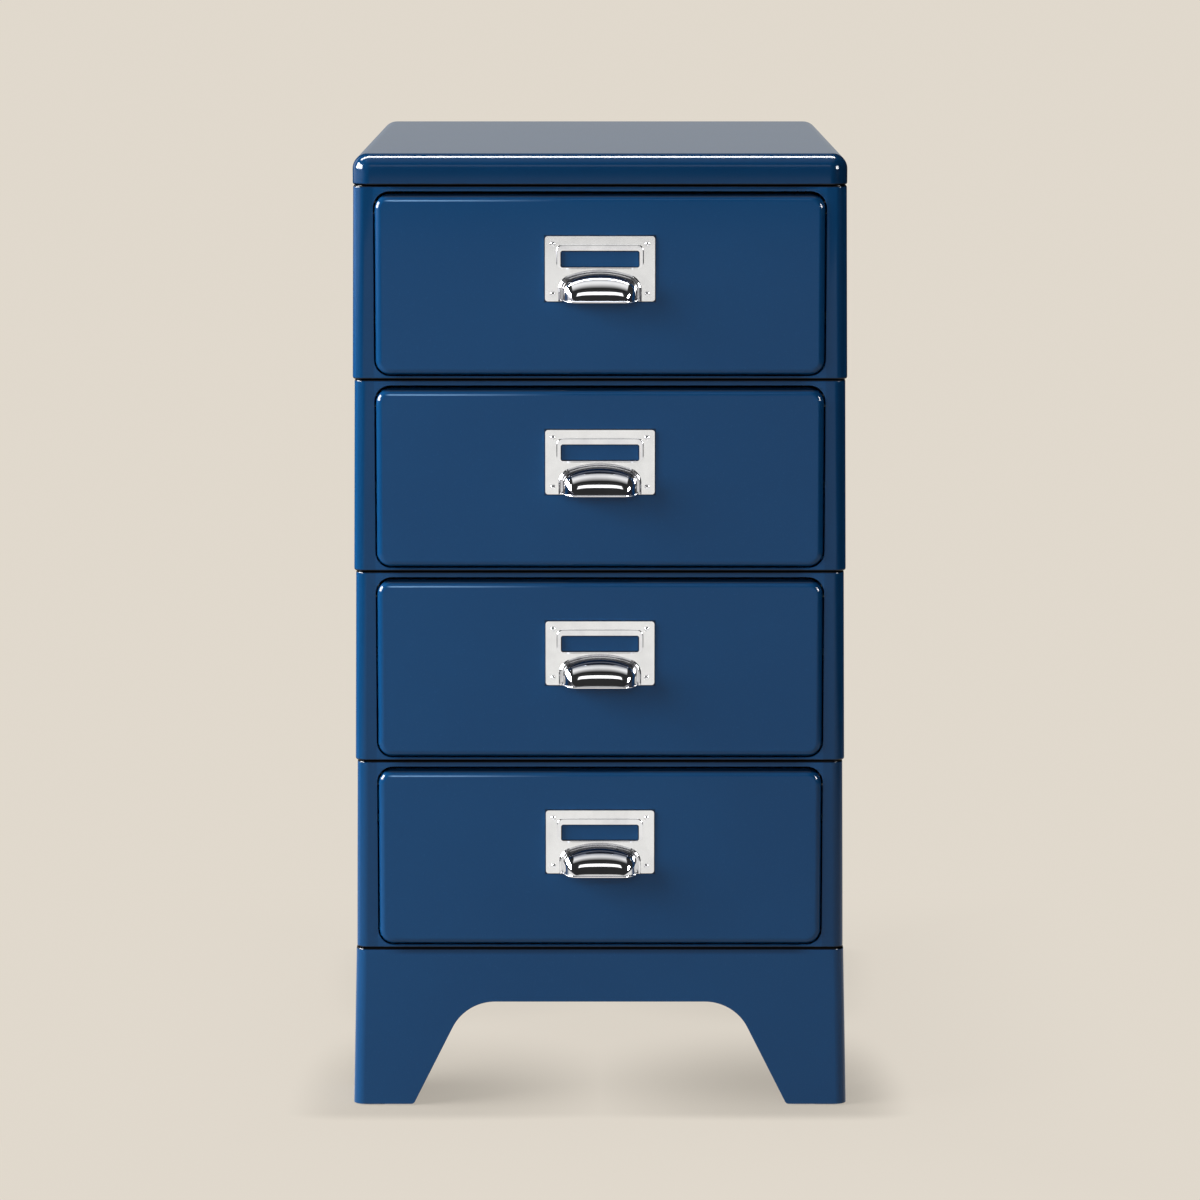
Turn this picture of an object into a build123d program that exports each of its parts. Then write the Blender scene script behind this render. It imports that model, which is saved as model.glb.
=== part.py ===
"""Archive cabinet: four stacked sheet-steel drawer units under a pressed lid, on a splayed leg base.

Millimetres, +Z up, the drawers open towards -Y. The origin is on the floor under the middle of the
cabinet's overall box, so the pulls at the front shift the casings a little towards +Y.
"""

import os
from math import cos, radians, sin

from build123d import *

# Stack of units
tier_count = 4
tier_pitch = 112.0  # height of one casing, which is also the step from drawer to drawer
body_depth = 400.0  # casing, front face to back face
casing_top_width = 284.2
stack_overhang = 1.1  # each casing widens downwards and stands this far over the one below, each side
casing_corner = 6.8  # upright corners, in plan
casing_sheet = 1.0
seam_rounding = 1.4  # folded edges where two units meet
flange_width = 15.0  # turned-in flanges that the units are bolted through, from the outer face

# Front frame of a casing
stile_width = 11.35  # beside the drawer, at the top of the casing
top_rail = 3.7
bottom_rail = 2.0
opening_corner = 9.5

# Lid
lid_height = 18.0
lid_overhang = 0.4  # past the top casing, all round
lid_corner = 10.5
lid_rounding = 9.0  # rolled edge round the top
lid_sheet = 1.0

# Leg base
base_height = 95.0
base_overhang = 0.35  # past the bottom casing, each side
leg_splay = 2.3  # how far the sides lean out from top to bottom, each side
base_sheet = 1.2
arch_height = 62.6  # underside of the aprons above the floor
leg_width_front = 35.4  # foot of a leg, seen from the front
leg_width_side = 44.0  # foot of a leg, seen from the side
arch_slope = 0.5  # sideways run of a leg's inner edge per unit of height
arch_rounding = 28.0
foot_rounding = 2.6  # inner corner of a leg's foot
foot_clearance = 0.6  # the sheet ends this far above the floor, and the glides carry the load

# Glides inside the legs
glide_size = 22.0
glide_height = 7.0
glide_clearance = 0.1
glide_edge = 1.0

# Drawer front, a pressed pan set into the frame
side_gap = 1.0
top_gap = 1.3
bottom_gap = 0.8
pan_depth = 12.0
pan_proud = 2.0  # how far it stands out of the frame
pan_corner = 8.5
pan_rounding = 4.0
pan_sheet = 1.0

# Drawer tray, hung by its rims in the runners
tray_sheet = 1.0
tray_inset = 8.75  # from the end of the pan to the tray's side wall
tray_lift = 6.0  # underside above the casing's bottom edge
tray_corner = 6.0  # upright corners of the tray
tray_fold = 2.0  # folds along the bottom
tray_rear_space = 36.0  # from the tray's back wall to the casing's back face
rim_drop = 15.0  # rim below the casing's top edge
rim_reach = 8.0  # out-turned rim, from the side wall
rim_start = 3.0  # the rims begin this far behind the pan

# Runners, a channel on each side of a casing
runner_sheet = 1.2
runner_inside = 5.2  # height between the two legs of the channel
runner_clearance = 0.3  # under the rim
runner_tray_gap = 1.5  # from the legs' edges to the tray wall
runner_wall_gap = 0.1
runner_start = 6.0  # the channel begins this far behind the pan

# Stops at both ends of a drawer's travel
stop_setback = 60.7  # from the channel's front end to the tab that ends the travel
stop_clearance = 0.3
stop_width = 5.0
stop_tab_gap = 0.7  # between the rim and the tab that it slides under
ear_gap = 0.9  # between the rim's ear and the channel's upper leg

# Loose floor panel of a casing
floor_sheet = 0.8
floor_clearance = 0.3

# Bolts between the units
bolt_radius = 2.0
bolt_hole_radius = 2.3
bolt_inset = 8.0  # from the top casing's side
bolt_setback = 26.0  # from the casing's front and back faces
bolt_head_flats = 7.0
bolt_head_height = 2.8
bolt_end = 1.0  # thread past the nut
nut_flats = 7.0
nut_height = 3.2

# Label pull, stamped from one sheet
plate_width = 63.3
plate_height = 37.5
plate_sheet = 1.0
plate_corner = 1.6
plate_above_middle = 9.4  # plate's middle above the pan's middle
window_width = 45.6
window_height = 9.8
window_below_top = 8.3
window_corner = 1.4
frame_side = 2.4  # raised frame round the window, past each end of it
frame_top = 3.6
frame_foot = 0.7
frame_rise = 0.4
bead_width = 48.0
bead_height = 18.3  # top of the raised ring above the plate's lower edge
bead_crown = 53.0  # radius of the ring's top
bead_corner = 9.0
bead_rise = 1.6
bead_edge = 0.6
cup_inset = 3.0  # from the ring's outside to the cup's
cup_projection = 13.0  # past the plate's face
cup_flat = 26.0  # straight part of its front edge
cup_turns = (0, 20, 38, 54, 68, 79, 85)  # degrees along the quarter ellipse that its roof and ends follow
cup_sheet = 1.0
lip_height = 1.5
lip_reach = 0.7

# Rivets of the pull
rivet_inset = 4.4
rivet_radius = 0.8
rivet_hole_radius = 0.9
rivet_head_radius = 1.4
rivet_head_height = 0.7
rivet_head_edge = 0.6
rivet_tail_height = 0.6

# Values that follow from those above
casing_bottom_width = casing_top_width + 2 * stack_overhang
lid_width = casing_top_width + 2 * lid_overhang
base_top_width = casing_bottom_width + 2 * base_overhang
base_bottom_width = base_top_width + 2 * leg_splay
stack_top = base_height + tier_count * tier_pitch

front_reach = pan_proud + plate_sheet + cup_projection + lip_reach
body_middle = (front_reach - lid_overhang) / 2
front_face = body_middle - body_depth / 2
back_face = body_middle + body_depth / 2
pan_face = front_face - pan_proud
pan_back = pan_face + pan_depth

opening_width = casing_top_width - 2 * stile_width
opening_height = tier_pitch - top_rail - bottom_rail
opening_middle = bottom_rail + opening_height / 2
pan_width = opening_width - 2 * side_gap
pan_height = opening_height - top_gap - bottom_gap
pan_middle = bottom_rail + bottom_gap + pan_height / 2

tray_width = pan_width - 2 * tray_inset
tray_front = pan_face + pan_sheet
tray_rear = back_face - tray_rear_space
tray_length = tray_rear - tray_front
tray_middle = (tray_front + tray_rear) / 2
rim_top = tier_pitch - rim_drop
rim_front = pan_back + rim_start
rim_rear = tray_rear - tray_corner

runner_floor = rim_top - tray_sheet - runner_clearance
runner_ceiling = runner_floor + runner_inside
runner_bottom = runner_floor - runner_sheet
runner_top = runner_ceiling + runner_sheet
runner_front = pan_back + runner_start
runner_back = back_face - casing_corner - floor_clearance
runner_inner = tray_width / 2 + runner_tray_gap
side_lean = stack_overhang / tier_pitch
# The casing's inside is narrowest at the top of the channel, because its sides lean out downwards.
runner_outer = (
    casing_top_width / 2 + side_lean * (tier_pitch - runner_top) - casing_sheet - runner_wall_gap
)
stop_middle = runner_inner + stop_width / 2
ear_height = runner_ceiling - ear_gap - rim_top
front_tab_back = runner_front + stop_setback
front_tab_height = runner_ceiling - rim_top - stop_tab_gap
rear_tab_front = rim_rear + stop_clearance

bolt_x = casing_top_width / 2 - bolt_inset
bolt_y = body_depth / 2 - bolt_setback
plate_middle = pan_middle + plate_above_middle
plate_bottom = plate_middle - plate_height / 2
plate_face = pan_face - plate_sheet
window_middle = plate_middle + plate_height / 2 - window_below_top - window_height / 2


def upright(y):
    """Plane facing the front at depth y: its x is +X, its y is +Z and its normal is -Y."""
    return Plane(origin=(0, y, 0), x_dir=(1, 0, 0), z_dir=(0, -1, 0))


def level(z):
    """Plane facing up at height z, with its origin in the middle of the casings."""
    return Plane(origin=(0, body_middle, z), x_dir=(1, 0, 0), z_dir=(0, 0, 1))


def is_upright(edge):
    """Whether an edge runs up the object, straight or leaning."""
    return abs(edge.tangent_at(0.5).Z) > 0.5


def side_outline(bottom, bottom_width, top, top_width):
    """Front view of a unit whose sides lean, drawn on the casings' front face."""
    with BuildSketch(upright(front_face)) as outline:
        with BuildLine():
            Polyline(
                (-bottom_width / 2, bottom),
                (bottom_width / 2, bottom),
                (top_width / 2, top),
                (-top_width / 2, top),
                close=True,
            )
        make_face()
    return outline.sketch


def tier_bottom(tier):
    """Height of a casing's bottom edge, counting the tiers from 1 at the top."""
    return base_height + (tier_count - tier) * tier_pitch


def write(piece, name):
    """Writes one finished piece as its own node."""
    piece.label = name
    export_step(piece, f"parts/{name}.step")


def write_tiers(part, name):
    """Writes one copy of a piece for every tier, numbered from the top."""
    for tier in range(1, tier_count + 1):
        write(part.moved(Location((0, 0, tier_bottom(tier)))), f"{name}_{tier}")


def bolt_pattern(z):
    """Four holes for the bolts between two units, on the plane at height z."""
    with BuildSketch(level(z)) as pattern:
        with GridLocations(2 * bolt_x, 2 * bolt_y, 2, 2):
            Circle(bolt_hole_radius)
    return pattern.sketch


def rivet_pattern(y, radius):
    """Four circles where the pull's rivets go, on the upright plane at depth y."""
    with BuildSketch(upright(y)) as pattern:
        with Locations((0, plate_middle)):
            with GridLocations(plate_width - 2 * rivet_inset, plate_height - 2 * rivet_inset, 2, 2):
                Circle(radius)
    return pattern.sketch


def plate_foot(y):
    """Plane facing the front at depth y, with its origin in the middle of the plate's lower edge."""
    return Plane(origin=(0, y, plate_bottom), x_dir=(1, 0, 0), z_dir=(0, -1, 0))


def ring_outline(inset):
    """Outline of the pull's ring, drawn in by inset: upright sides and a shallow crown."""
    half = bead_width / 2 - inset
    crown = bead_crown - inset
    top = bead_height - inset
    spring = top - crown + (crown**2 - half**2) ** 0.5
    with BuildSketch() as outline:
        with BuildLine():
            Polyline((-half, spring), (-half, 0), (half, 0), (half, spring))
            ThreePointArc((half, spring), (0, top), (-half, spring))
        make_face()
        fillet(outline.vertices().group_by(Axis.Y)[-1], bead_corner - inset)
    return outline.sketch


def cup_block(inset):
    """Dome of the pull's cup, or of its hollow where inset is the sheet's thickness."""
    outline = ring_outline(cup_inset + inset)
    flat_share = cup_flat / (bead_width - 2 * (cup_inset + inset))
    with BuildPart() as block:
        for turn in cup_turns:
            shrink = cos(radians(turn))
            depth = plate_face - (cup_projection - inset) * sin(radians(turn))
            shares = (flat_share + (1 - flat_share) * shrink, shrink, 1)
            add(plate_foot(depth) * scale(outline, by=shares, mode=Mode.PRIVATE))
        loft()
    return block.part


def leg_opening(plane, half_span):
    """Gap between two legs: a flat top with large roundings, over sides that follow the legs."""
    half_top = half_span - arch_slope * arch_height
    with BuildSketch(plane) as gap:
        with BuildLine():
            Polyline(
                (-half_span, 0), (half_span, 0), (half_top, arch_height), (-half_top, arch_height), close=True
            )
        make_face()
        fillet(gap.vertices().group_by(Axis.Y)[-1], arch_rounding)
    return gap.sketch


def make_runner(side):
    """Channel on one side wall (side is -1 for left, 1 for right), with a stop at each end of the travel."""
    middle = side * (runner_inner + runner_outer) / 2
    reach = runner_outer - runner_inner
    with BuildPart() as runner:
        with BuildSketch(upright(runner_back)):
            with Locations((middle, (runner_bottom + runner_top) / 2)):
                Rectangle(reach, runner_top - runner_bottom)
            with Locations((middle - side * runner_sheet, runner_floor + runner_inside / 2)):
                Rectangle(reach, runner_inside, mode=Mode.SUBTRACT)
        extrude(amount=runner_back - runner_front)
        # Tab that ends the travel, bent down from the upper leg in front of the rim's ear.
        with BuildSketch(upright(front_tab_back)):
            with Locations((side * stop_middle, runner_ceiling - front_tab_height / 2)):
                Rectangle(stop_width, front_tab_height)
        extrude(amount=runner_sheet)
        # Tab behind the rim of the shut drawer.
        with BuildSketch(upright(rear_tab_front)):
            with Locations((side * stop_middle, runner_floor + runner_inside / 2)):
                Rectangle(stop_width, runner_inside)
        extrude(amount=-runner_sheet)
    return runner.part


def lid_block(inset):
    """Rounded block of the lid's outside, or of its hollow where inset is the sheet's thickness."""
    with BuildPart() as block:
        with BuildSketch(level(stack_top + inset)):
            RectangleRounded(
                lid_width - 2 * inset, body_depth + 2 * (lid_overhang - inset), lid_corner - inset
            )
        extrude(amount=lid_height - 2 * inset)
        fillet(block.faces().sort_by(Axis.Z)[-1].edges(), lid_rounding - inset)
        fillet(block.faces().sort_by(Axis.Z)[0].edges(), seam_rounding - inset)
    return block.part


# Lid: pressed top with a rolled edge, and a flange turned in below
with BuildPart() as lid:
    add(lid_block(0))
    add(lid_block(lid_sheet), mode=Mode.SUBTRACT)
    with BuildSketch(level(stack_top)):
        Rectangle(lid_width - 2 * flange_width, body_depth - 2 * flange_width)
    extrude(amount=lid_height / 2, mode=Mode.SUBTRACT)
    extrude(bolt_pattern(stack_top), amount=2 * lid_sheet, mode=Mode.SUBTRACT)

# Casing: front frame, sides and back in one shell, with flanges turned in above and below
with BuildPart() as casing:
    extrude(side_outline(0, casing_bottom_width, tier_pitch, casing_top_width), amount=-body_depth)
    fillet(casing.edges().filter_by(is_upright), casing_corner)
    fillet(casing.faces().sort_by(Axis.Z)[-1].edges(), seam_rounding)
    fillet(casing.faces().sort_by(Axis.Z)[0].edges(), seam_rounding)
    offset(amount=-casing_sheet, mode=Mode.SUBTRACT)
    with BuildSketch(level(0)):
        Rectangle(casing_top_width - 2 * flange_width, body_depth - 2 * flange_width)
    extrude(amount=tier_pitch, mode=Mode.SUBTRACT)
    with BuildSketch(upright(front_face)):
        with Locations((0, opening_middle)):
            RectangleRounded(opening_width, opening_height, opening_corner)
    extrude(amount=-2 * casing_sheet, mode=Mode.SUBTRACT)
    extrude(bolt_pattern(0), amount=tier_pitch, mode=Mode.SUBTRACT)

# Floor panel: lies on the casing's lower flange and shuts one drawer off from the next
with BuildPart() as floor:
    with BuildSketch(level(casing_sheet)):
        RectangleRounded(
            casing_bottom_width - 2 * (casing_sheet + floor_clearance + seam_rounding),
            body_depth - 2 * (casing_sheet + floor_clearance + seam_rounding),
            casing_corner,
        )
    extrude(amount=floor_sheet)
    extrude(bolt_pattern(casing_sheet), amount=floor_sheet, mode=Mode.SUBTRACT)

# Drawer front: a shallow pressed pan with rounded edges, open behind
with BuildPart() as drawer_front:
    with BuildSketch(upright(pan_back)):
        with Locations((0, pan_middle)):
            RectangleRounded(pan_width, pan_height, pan_corner)
    extrude(amount=pan_depth)
    fillet(drawer_front.faces().sort_by(Axis.Y)[0].edges(), pan_rounding)
    offset(amount=-pan_sheet, openings=drawer_front.faces().sort_by(Axis.Y)[-1])
    extrude(rivet_pattern(tray_front, rivet_hole_radius), amount=pan_sheet, mode=Mode.SUBTRACT)

# Drawer tray: folded sheet, open above, with out-turned rims that hang in the runners
with BuildPart() as drawer_tray:
    with BuildSketch(Plane((0, tray_middle, tray_lift))):
        RectangleRounded(tray_width, tray_length, tray_corner)
    extrude(amount=rim_top - tray_lift)
    fillet(drawer_tray.faces().sort_by(Axis.Z)[0].edges(), tray_fold)
    offset(amount=-tray_sheet, openings=drawer_tray.faces().sort_by(Axis.Z)[-1])
    with BuildSketch(Plane((0, (rim_front + rim_rear) / 2, rim_top))):
        with GridLocations(tray_width + rim_reach, 0, 2, 1):
            Rectangle(rim_reach, rim_rear - rim_front)
    extrude(amount=-tray_sheet)
    # Ears at the back of the rims, which meet the runners' front tabs.
    with BuildSketch(Plane((0, rim_rear - tray_sheet / 2, rim_top))):
        with GridLocations(2 * stop_middle, 0, 2, 1):
            Rectangle(stop_width, tray_sheet)
    extrude(amount=ear_height)
    extrude(
        rivet_pattern(tray_front + tray_sheet, rivet_hole_radius), amount=tray_sheet, mode=Mode.SUBTRACT
    )

# Label pull: one stamping with a label window, a raised ring and a finger cup that is open below
with BuildPart() as label_pull:
    with BuildSketch(upright(pan_face)):
        with Locations((0, plate_middle)):
            RectangleRounded(plate_width, plate_height, plate_corner)
    extrude(amount=plate_sheet)
    # Raised frame round the window.
    with BuildSketch(upright(plate_face)):
        with Locations((0, window_middle + (frame_top - frame_foot) / 2)):
            RectangleRounded(
                window_width + 2 * frame_side,
                window_height + frame_top + frame_foot,
                window_corner + frame_side,
            )
    extrude(amount=frame_rise, taper=45)
    # Ring round the cup.
    extrude(plate_foot(plate_face) * ring_outline(0), amount=bead_rise)
    ring_face = label_pull.faces().filter_by(Axis.Y).sort_by(Axis.Y)[0]
    fillet(ring_face.edges().sort_by(Axis.Z)[1:], bead_edge)
    # Cup, domed in section and in plan.
    add(cup_block(0))
    # Lip along the cup's lower edge.
    flat_half = cup_flat / 2
    lip_radii = (bead_width / 2 - cup_inset - flat_half + lip_reach, cup_projection + lip_reach)
    with BuildSketch(Plane((0, plate_face, plate_bottom))):
        with BuildLine():
            left = EllipticalCenterArc((-flat_half, 0), *lip_radii, start_angle=180, arc_size=90)
            right = EllipticalCenterArc((flat_half, 0), *lip_radii, start_angle=270, arc_size=90)
            Line(left @ 1, right @ 0)
            Line(right @ 1, left @ 0)
        make_face()
    extrude(amount=lip_height)
    # Hollow of the cup, open below and towards the drawer front.
    add(cup_block(cup_sheet), mode=Mode.SUBTRACT)
    hollow = plate_foot(pan_face) * ring_outline(cup_inset + cup_sheet)
    extrude(hollow, amount=plate_sheet, mode=Mode.SUBTRACT)
    # Window and rivet holes.
    with BuildSketch(upright(pan_face)):
        with Locations((0, window_middle)):
            RectangleRounded(window_width, window_height, window_corner)
    extrude(amount=plate_sheet + frame_rise, mode=Mode.SUBTRACT)
    extrude(rivet_pattern(pan_face, rivet_hole_radius), amount=plate_sheet, mode=Mode.SUBTRACT)

# Rivets: domed heads on the plate, shanks through the front and the tray, and tails inside the drawer
with BuildPart() as pull_rivets:
    shank_end = tray_front + tray_sheet
    extrude(rivet_pattern(shank_end, rivet_radius), amount=shank_end - plate_face)
    extrude(rivet_pattern(plate_face, rivet_head_radius), amount=rivet_head_height)
    fillet(pull_rivets.faces().group_by(Axis.Y)[0].edges(), rivet_head_edge)
    extrude(rivet_pattern(shank_end, rivet_head_radius), amount=-rivet_tail_height)

# Leg base: a splayed skirt cut out between the legs, with a flange turned in at the top
with BuildPart() as leg_base:
    extrude(side_outline(foot_clearance, base_bottom_width, base_height, base_top_width), amount=-body_depth)
    fillet(leg_base.edges().filter_by(is_upright), casing_corner)
    fillet(leg_base.faces().sort_by(Axis.Z)[-1].edges(), seam_rounding)
    offset(amount=-base_sheet, openings=leg_base.faces().sort_by(Axis.Z)[0])
    with BuildSketch(level(base_height)):
        Rectangle(base_top_width - 2 * flange_width, body_depth - 2 * flange_width)
    extrude(amount=-2 * base_sheet, mode=Mode.SUBTRACT)
    across = Plane(origin=(0, body_middle, 0), x_dir=(1, 0, 0), z_dir=(0, -1, 0))
    along = Plane(origin=(0, body_middle, 0), x_dir=(0, 1, 0), z_dir=(1, 0, 0))
    extrude(
        leg_opening(across, base_bottom_width / 2 - leg_width_front),
        amount=body_depth,
        both=True,
        mode=Mode.SUBTRACT,
    )
    extrude(
        leg_opening(along, body_depth / 2 - leg_width_side),
        amount=base_bottom_width,
        both=True,
        mode=Mode.SUBTRACT,
    )
    feet = leg_base.edges().group_by(Axis.Z)[0]
    fillet(feet.filter_by(lambda edge: edge.length < 2 * base_sheet), foot_rounding)
    extrude(bolt_pattern(base_height), amount=-2 * base_sheet, mode=Mode.SUBTRACT)

# Glides: pads in the corners of the legs, which stand on the floor
with BuildPart() as foot_glides:
    glide_lean = leg_splay * glide_height / base_height
    glide_x = base_bottom_width / 2 - glide_lean - base_sheet - glide_clearance - glide_size / 2
    glide_y = body_depth / 2 - base_sheet - glide_clearance - glide_size / 2
    with BuildSketch(level(0)):
        with GridLocations(2 * glide_x, 2 * glide_y, 2, 2):
            RectangleRounded(glide_size, glide_size, casing_corner)
    extrude(amount=glide_height)
    fillet(foot_glides.faces().group_by(Axis.Z)[0].edges(), glide_edge)

# Bolts and nuts at the corners of every seam: its height, what lies under it, and what lies on it
seams = [(base_height, base_sheet, casing_sheet + floor_sheet)]
seams += [(tier_bottom(tier), casing_sheet, casing_sheet + floor_sheet) for tier in range(1, tier_count)]
seams += [(stack_top, casing_sheet, lid_sheet)]

with BuildPart() as stack_bolts:
    for seam, below, above in seams:
        with BuildSketch(level(seam - below)):
            with GridLocations(2 * bolt_x, 2 * bolt_y, 2, 2):
                RegularPolygon(bolt_head_flats / 2, 6, major_radius=False)
        extrude(amount=-bolt_head_height)
        with BuildSketch(level(seam - below)):
            with GridLocations(2 * bolt_x, 2 * bolt_y, 2, 2):
                Circle(bolt_radius)
        extrude(amount=below + above + nut_height + bolt_end)

with BuildPart() as stack_nuts:
    for seam, below, above in seams:
        with BuildSketch(level(seam + above)):
            with GridLocations(2 * bolt_x, 2 * bolt_y, 2, 2):
                RegularPolygon(nut_flats / 2, 6, major_radius=False)
                Circle(bolt_hole_radius, mode=Mode.SUBTRACT)
        extrude(amount=nut_height)

os.makedirs("parts", exist_ok=True)
write(lid.part, "lid")
write(leg_base.part, "leg_base")
write(foot_glides.part, "foot_glides")
write(stack_bolts.part, "stack_bolts")
write(stack_nuts.part, "stack_nuts")
write_tiers(casing.part, "casing")
write_tiers(floor.part, "floor")
write_tiers(make_runner(-1), "runner_left")
write_tiers(make_runner(1), "runner_right")
write_tiers(drawer_tray.part, "drawer_tray")
write_tiers(drawer_front.part, "drawer_front")
write_tiers(label_pull.part, "label_pull")
write_tiers(pull_rivets.part, "pull_rivets")
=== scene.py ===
import math

import bmesh
import bpy
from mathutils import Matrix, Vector


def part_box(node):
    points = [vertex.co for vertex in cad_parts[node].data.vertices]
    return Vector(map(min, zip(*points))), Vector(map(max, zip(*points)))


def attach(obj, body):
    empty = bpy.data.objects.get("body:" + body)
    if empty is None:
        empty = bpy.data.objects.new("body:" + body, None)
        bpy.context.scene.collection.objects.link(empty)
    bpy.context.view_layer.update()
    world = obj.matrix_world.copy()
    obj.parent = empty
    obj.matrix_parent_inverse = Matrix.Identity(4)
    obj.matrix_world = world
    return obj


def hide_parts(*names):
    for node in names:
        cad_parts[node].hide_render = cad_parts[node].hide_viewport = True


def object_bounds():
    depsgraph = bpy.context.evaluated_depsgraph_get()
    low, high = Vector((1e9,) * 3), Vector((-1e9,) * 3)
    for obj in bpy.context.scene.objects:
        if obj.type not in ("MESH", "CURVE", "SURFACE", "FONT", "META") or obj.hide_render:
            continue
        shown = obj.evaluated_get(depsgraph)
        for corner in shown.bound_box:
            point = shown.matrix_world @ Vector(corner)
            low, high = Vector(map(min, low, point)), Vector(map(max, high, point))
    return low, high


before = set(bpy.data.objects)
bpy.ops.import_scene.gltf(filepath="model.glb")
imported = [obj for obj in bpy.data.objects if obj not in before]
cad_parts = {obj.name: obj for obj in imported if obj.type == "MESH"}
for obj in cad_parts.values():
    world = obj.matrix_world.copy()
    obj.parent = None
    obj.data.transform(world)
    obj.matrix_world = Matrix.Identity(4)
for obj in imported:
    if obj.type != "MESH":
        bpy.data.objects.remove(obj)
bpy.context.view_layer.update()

mm = 0.001
tiers = (1, 2, 3, 4)  # 1 is the top drawer
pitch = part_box("casing_1")[1].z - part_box("casing_1")[0].z  # from one drawer unit to the next


# helpers for meshes

def roundedRing(halfX, halfY, radius, steps):
    # counter-clockwise from the right end of the lower side
    points = []
    for corner in range(4):
        sx = (1, 1, -1, -1)[corner]
        sy = (-1, 1, 1, -1)[corner]
        for step in range(steps + 1):
            turn = math.radians(-90 + 90 * corner + 90 * step / steps)
            points.append((sx * (halfX - radius) + radius * math.cos(turn),
                           sy * (halfY - radius) + radius * math.sin(turn)))
    return points


def level(point, height, centre):
    return (centre[0] + point[0], centre[1] + point[1], centre[2] + height)


def facing(point, forward, centre):
    # drawn on the front: x to the right, z up, forward towards -Y
    return (centre[0] + point[0], centre[1] - forward, centre[2] + point[1])


def quarter(steps):
    # sine and cosine pairs from 0 to 90 degrees
    turns = [math.pi / 2 * k / steps for k in range(steps + 1)]
    return [(math.sin(turn), math.cos(turn)) for turn in turns]


def foldUp(radius, steps):
    # (inset, height) round the fold from a flange below into an upright wall
    return [(radius * (1 - s), radius * (1 - c)) for s, c in quarter(steps)]


def foldOver(radius, top, steps):
    # the same from the wall over into what lies on top
    return [(radius * (1 - c), top - radius * (1 - s)) for s, c in quarter(steps)]


def loft(bm, rings, closed=True, leaveOut=None):
    # rings of bmesh vertices with equal counts; leaveOut names (ring, segment) pairs without a face
    count = len(rings[0])
    for k in range(len(rings) - 1):
        low, high = rings[k], rings[k + 1]
        for i in range(count if closed else count - 1):
            if leaveOut and (k, i) in leaveOut:
                continue
            j = (i + 1) % count
            bm.faces.new((low[i], low[j], high[j], high[i]))


def ringVerts(bm, points):
    return [bm.verts.new(p) for p in points]


def skin(bm, rings):
    # faces between open rings that run clockwise
    for low, high in zip(rings, rings[1:]):
        for i in range(len(low) - 1):
            bm.faces.new((low[i], high[i], high[i + 1], low[i + 1]))


def curtain(profile, ends):
    # a (y, z) profile drawn out in x from one end to the other
    bm = bmesh.new()
    loft(bm, [ringVerts(bm, [(x, y, z) for y, z in profile]) for x in ends], closed=False)
    return bm


def settle(obj):
    # freezes the modifiers into a plain mesh
    bpy.context.view_layer.update()
    mesh = bpy.data.meshes.new_from_object(obj.evaluated_get(bpy.context.evaluated_depsgraph_get()))
    obj.modifiers.clear()
    old = obj.data
    obj.data = mesh
    bpy.data.meshes.remove(old)
    mesh.name = obj.name


def newObject(name, bm, material):
    mesh = bpy.data.meshes.new(name)
    bm.to_mesh(mesh)
    bm.free()
    obj = bpy.data.objects.new(name, mesh)
    bpy.context.scene.collection.objects.link(obj)
    mesh.materials.append(material)
    return obj


def sheetPiece(name, bm, material, gauge, edge, sharp=50, blocks=()):
    # outer skin to sheet metal: thickness inwards, tabs added, cut edges broken, flat faces kept flat
    obj = newObject(name, bm, material)
    solid = obj.modifiers.new("gauge", "SOLIDIFY")
    solid.thickness = gauge
    solid.offset = -1
    solid.use_even_offset = True
    settle(obj)
    if blocks:
        bm = bmesh.new()
        bm.from_mesh(obj.data)
        for low, high in blocks:
            addBlock(bm, low, high)
        bm.to_mesh(obj.data)
        bm.free()
    bevel = obj.modifiers.new("edge", "BEVEL")
    bevel.width = edge
    bevel.segments = 2
    bevel.limit_method = "ANGLE"
    bevel.angle_limit = math.radians(sharp)
    settle(obj)
    smooth(obj)
    return obj


def addBlock(bm, low, high):
    size = Vector(high) - Vector(low)
    for v in bmesh.ops.create_cube(bm, size=1.0)["verts"]:
        v.co = Vector(low) + size * (v.co + Vector((0.5, 0.5, 0.5)))


def smooth(obj, angle=35):
    mesh = obj.data
    mesh.polygons.foreach_set("use_smooth", [True] * len(mesh.polygons))
    mesh.set_sharp_from_angle(angle=math.radians(angle))
    normals = obj.modifiers.new("normals", "WEIGHTED_NORMAL")
    normals.keep_sharp = True
    normals.weight = 100
    settle(obj)


def fit(obj, body, slot, *nodes):
    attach(obj, body)
    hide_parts(*nodes)


# shader maths as expressions

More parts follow.
